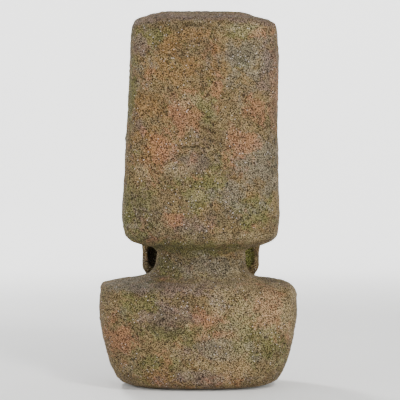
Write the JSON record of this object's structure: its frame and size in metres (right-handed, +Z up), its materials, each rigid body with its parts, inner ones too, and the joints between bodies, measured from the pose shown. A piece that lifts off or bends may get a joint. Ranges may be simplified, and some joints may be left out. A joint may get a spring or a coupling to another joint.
{
  "type": "moai bust statue",
  "caption": "Free-standing garden bust in the moai style, hollow cast in two stone-effect halves with separate long ears, a closed foot on rubber pads and a pull-out crown bung.",
  "frame": {"origin": "on the surface that it stands on, under the centre of the bounding box", "axes": "+Z up through the crown; the figure looks along -Y and its back faces +Y; its left ear is at +X"},
  "size_m": [0.315, 0.2214, 0.6],
  "materials": {
    "cast_stone": "matte, pitted, dry-brushed paint over resin-bonded crushed stone",
    "glass_fibre": "glass-fibre tape set in polyester resin",
    "board": "sealed exterior board",
    "block": "sawn softwood",
    "screw_steel": "zinc plated",
    "rubber": "matte black",
    "sleeve": "dark brown moulded plastic"
  },
  "bodies": {
    "bust": {"back_shell": "cast_stone", "front_shell": "cast_stone", "left_ear": "cast_stone", "right_ear": "cast_stone", "seam_strip_left": "glass_fibre", "seam_strip_right": "glass_fibre", "base_plate": "board", "base_block_1": "block", "base_block_2": "block", "base_block_3": "block", "base_block_4": "block", "base_screw_1": "screw_steel", "base_screw_2": "screw_steel", "base_screw_3": "screw_steel", "base_screw_4": "screw_steel", "foot_1": "rubber", "foot_2": "rubber", "foot_3": "rubber", "foot_4": "rubber", "crown_bush": "sleeve"},
    "bung": {"crown_bung": "rubber"}
  },
  "joints": [
    {"name": "bung_pull", "type": "slide", "parent": "bust", "child": "bung", "axis": [0, 0, 1], "range_m": [0, 0.04]}
  ]
}
